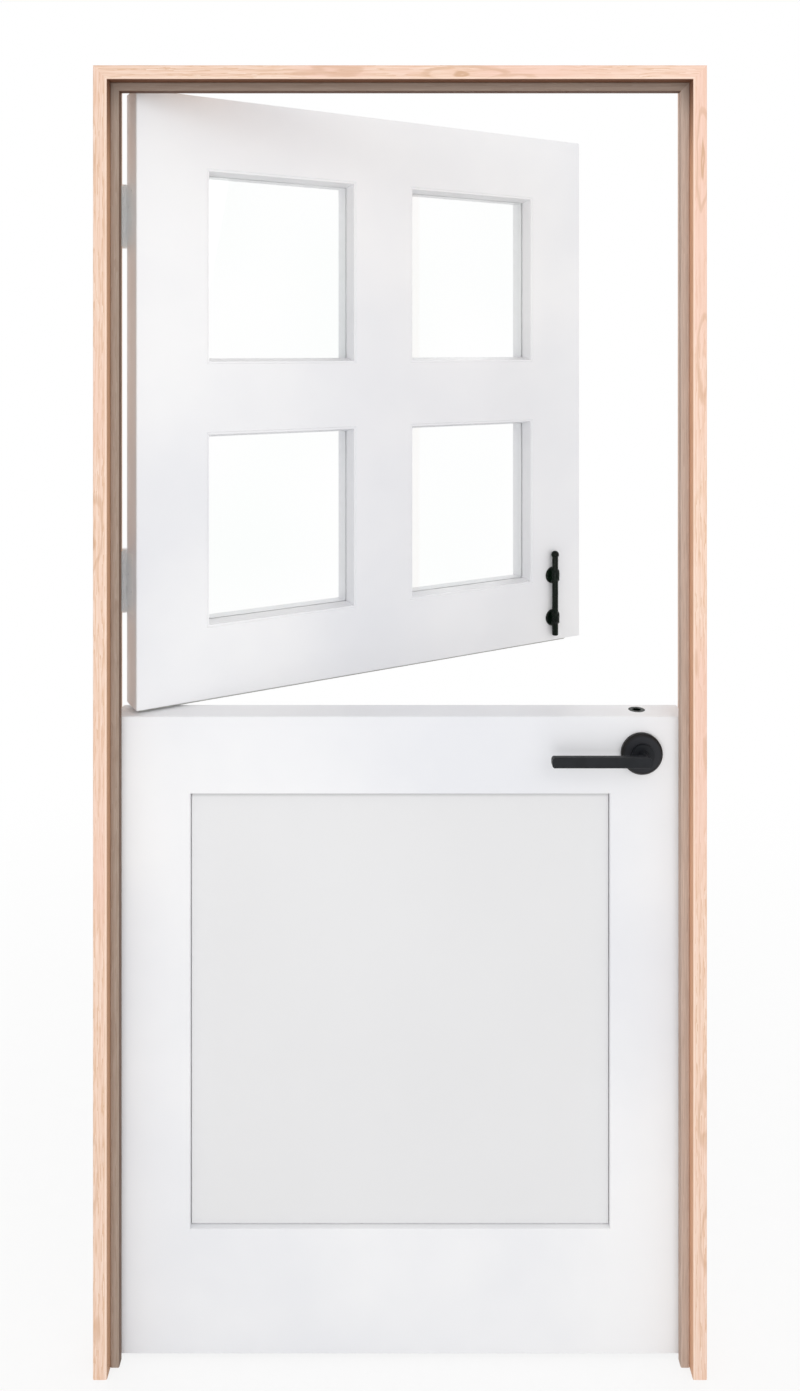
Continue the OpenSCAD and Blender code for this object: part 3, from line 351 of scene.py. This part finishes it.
def turned_black(name, axle, radius, centre, face, rim):
    """Charcoal finish on a turned piece, with painted shade that darkens it from the axle out to its edge."""
    m = Material(name)
    away = m.length(m.mapped(Scale=(1, 0, 1), Location=(-axle.x, 0, -axle.z)))
    cloud = m.math("MULTIPLY", m.noise(m.place, scale=90.0), 0.06)
    across = m.math("ADD", m.math("DIVIDE", away, radius), cloud)
    # Painted shade: the ramp darkens the colour towards the edge
    m.set(Base_Color=m.ramp(across, (0.5, centre), (0.66, face), (0.86, face), (1.0, rim)))
    metal_tooth(m, 0.38, 0.5, shine=0.2)
    return m.data


def brushed_steel(name):
    """Satin steel, brushed along its height."""
    m = Material(name)
    brushed = m.noise(m.mapped(Scale=(1, 1, 0.03)), scale=1800.0, detail=2.0)
    colour = m.ramp(brushed, (NOISE_LOW, srgb(176, 178, 180)), (NOISE_HIGH, srgb(206, 207, 208)))
    m.set(Base_Color=colour, Metallic=1.0)
    m.roughen(brushed, 0.28, 0.42)
    m.bump(brushed, strength=0.05, depth=0.0001)
    return m.data


def clear_glass(name):
    """Float glass with a faint tint that lets the lamps through."""
    m = Material(name)
    wave = m.noise(m.place, scale=3.0, detail=1.0)
    tint = m.ramp(wave, (NOISE_LOW, srgb(252, 254, 253)), (NOISE_HIGH, srgb(255, 255, 255)))
    m.set(Base_Color=tint, Roughness=0.0, IOR=1.5, Transmission_Weight=1.0)
    m.bump(wave, strength=0.02, depth=0.001)
    through = m.add("BsdfTransparent")
    m.fill(through, Color=tint)
    shadow_ray = m.add("LightPath").outputs["Is Shadow Ray"]
    m.show(m.pick(shadow_ray, m.surface.outputs[0], through.outputs[0]))
    return m.data


def rubber(name):
    """Grey extruded rubber with a faint bloom."""
    m = Material(name)
    bloom = m.noise(m.mapped(Scale=(0.2, 1, 1)), scale=240.0)
    m.set(Base_Color=m.ramp(bloom, (0.35, srgb(176, 176, 172)), (0.7, srgb(196, 196, 192))))
    m.roughen(bloom, 0.55, 0.75)
    m.bump(bloom, strength=0.08, depth=0.0003)
    return m.data


def slot_materials():
    """Finish for each of the record's material slots."""
    return {
        "white_paint": painted_white("leaf_white", srgb(245, 245, 246), srgb(231, 232, 236)),
        "black_metal": black_metal("charcoal_metal", srgb(31, 33, 37), srgb(25, 27, 31),
                                   0.38, 0.5, shine=0.2),
        "satin_steel": brushed_steel("brushed_steel"),
        "white_metal": painted_white("hinge_white", srgb(247, 248, 248), srgb(240, 241, 242)),
        "glass": clear_glass("pane_glass"),
        "rubber_seal": rubber("grey_rubber"),
    }


def frame_materials():
    """Finish for each board of the frame, with a place of its own in the grain."""
    return {
        # Reveal colours differ per board as painted light and shade: palest at the strike jamb, darker at the
        # hinge jamb, darkest at the head
        "hinge_jamb": pine("pine_hinge_jamb", "Z", (0.03, 0.05, 0.2),
                           srgb(206, 164, 132), srgb(178, 136, 106)),
        "strike_jamb": pine("pine_strike_jamb", "Z", (-0.028, 0.045, 0.7),
                            srgb(232, 184, 150), srgb(208, 158, 124)),
        "head_jamb": pine("pine_head_jamb", "X", (0.04, 0.05, 0.4),
                          srgb(176, 134, 106), srgb(142, 103, 77)),
        # Stop colours differ per stop as painted light and shade: palest at the strike stop, darker at the
        # hinge stop
        "hinge_stop": shaded_stop("shaded_stain_hinge_stop", "Z", (0.05, 0.06, 0.3),
                              srgb(181, 164, 151), srgb(166, 147, 133), srgb(114, 90, 74)),
        "strike_stop": shaded_stop("shaded_stain_strike_stop", "Z", (-0.05, 0.06, 0.9),
                               srgb(211, 190, 176), srgb(198, 176, 162), srgb(204, 178, 162)),
        "head_stop": shaded_stop("shaded_stain_head_stop", "X", (0.06, 0.05, 0.1),
                             srgb(186, 166, 152), srgb(170, 148, 133), srgb(86, 54, 36)),
    }


def dress_nodes():
    """Gives every node its own finish, or else its slot's."""
    by_slot = slot_materials()
    by_node = frame_materials()
    # The panel's paint carries a painted shadow under the top rail
    by_node["lower_panel"] = painted_white("panel_white", srgb(231, 231, 232), srgb(228, 228, 229), PANEL_TOP)
    low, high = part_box("front_rose")
    rose = turned_black("turned_black_metal", (low + high) / 2, (high.x - low.x) / 2,
                        srgb(46, 47, 51), srgb(42, 43, 47), srgb(20, 18, 17))
    by_node["front_rose"] = by_node["back_rose"] = rose
    gloss = black_metal("gloss_black_metal", srgb(9, 23, 13), srgb(4, 13, 7), 0.2, 0.3, shine=0.14)
    for name in BOLT_NODES:
        by_node[name] = gloss
    for name, piece in NODES.items():
        material = by_node.get(name) or by_slot[SLOTS[name]]
        piece.data.materials.clear()
        piece.data.materials.append(material)


def floor_material():
    """Pale floor that shows white to the camera and in reflections, and keeps a soft shadow."""
    m = Material("floor_white")
    grain = m.noise(m.place, scale=30.0)
    colour = m.ramp(grain, (NOISE_LOW, srgb(236, 236, 236)), (NOISE_HIGH, srgb(240, 240, 240)))
    m.set(Base_Color=colour, Specular_IOR_Level=0.2)
    m.roughen(grain, 0.7, 0.8)
    white = m.add("Emission").outputs[0]
    share = m.span(m.length(m.place), FLOOR_NEAR, FLOOR_FAR, FLOOR_WHITE, 1.0)
    m.show(m.pick(m.math("MULTIPLY", share, m.seen_directly()), m.surface.outputs[0], white))
    return m.data


def add_floor():
    """Round floor under the door."""
    angles = [2 * math.pi * i / FLOOR_SIDES for i in range(FLOOR_SIDES)]
    ring = [(FLOOR_RADIUS * math.cos(a), FLOOR_RADIUS * math.sin(a), 0) for a in angles]
    mesh = bpy.data.meshes.new("floor")
    mesh.from_pydata(ring, [], [list(range(FLOOR_SIDES))])
    floor = bpy.data.objects.new("floor", mesh)
    bpy.context.scene.collection.objects.link(floor)
    mesh.materials.append(floor_material())


def add_lamp(name, place, side, power):
    """Square soft lamp that faces the door."""
    data = bpy.data.lights.new(name, "AREA")
    data.size = side
    data.energy = power
    lamp = bpy.data.objects.new(name, data)
    lamp.location = place
    lamp.rotation_mode = "QUATERNION"
    lamp.rotation_quaternion = (Vector(LAMP_TARGET) - Vector(place)).to_track_quat("-Z", "Y")
    bpy.context.scene.collection.objects.link(lamp)


def add_sky():
    """White sky that lights a little less brightly than it shows."""
    world = bpy.data.worlds.new("white_sky")
    bpy.context.scene.world = world
    world.use_nodes = True
    sky = Nodes(world.node_tree)
    light = sky.tree.nodes["Background"]
    sky.fill(light, Color=WHITE, Strength=SKY_STRENGTH)
    shown = sky.add("Background")
    sky.fill(shown, Color=WHITE, Strength=1.0)
    both = sky.pick(sky.seen_directly(), light.outputs[0], shown.outputs[0])
    sky.fill(sky.tree.nodes["World Output"], Surface=both)


def light_scene():
    """Key lamp high at the right in front, fill low at the left in front, one high behind, and the sky."""
    for lamp in LAMPS:
        add_lamp(*lamp)
    add_sky()
    bpy.context.scene.view_settings.view_transform = "Standard"


def add_camera():
    """Level camera before the middle of the doorway, shifted down to the picture's framing."""
    data = bpy.data.cameras.new("camera")
    data.sensor_width = SENSOR_MM
    data.lens = FOCAL_PX * SENSOR_MM / PHOTO_H
    data.shift_y = (HORIZON_PX - PHOTO_H / 2) / PHOTO_H
    camera = bpy.data.objects.new("camera", data)
    camera.location = (0, -CAMERA_DISTANCE, CAMERA_HEIGHT)
    camera.rotation_euler = (math.pi / 2, 0, 0)
    bpy.context.scene.collection.objects.link(camera)
    bpy.context.scene.camera = camera


dress_nodes()
add_floor()
light_scene()
add_camera()
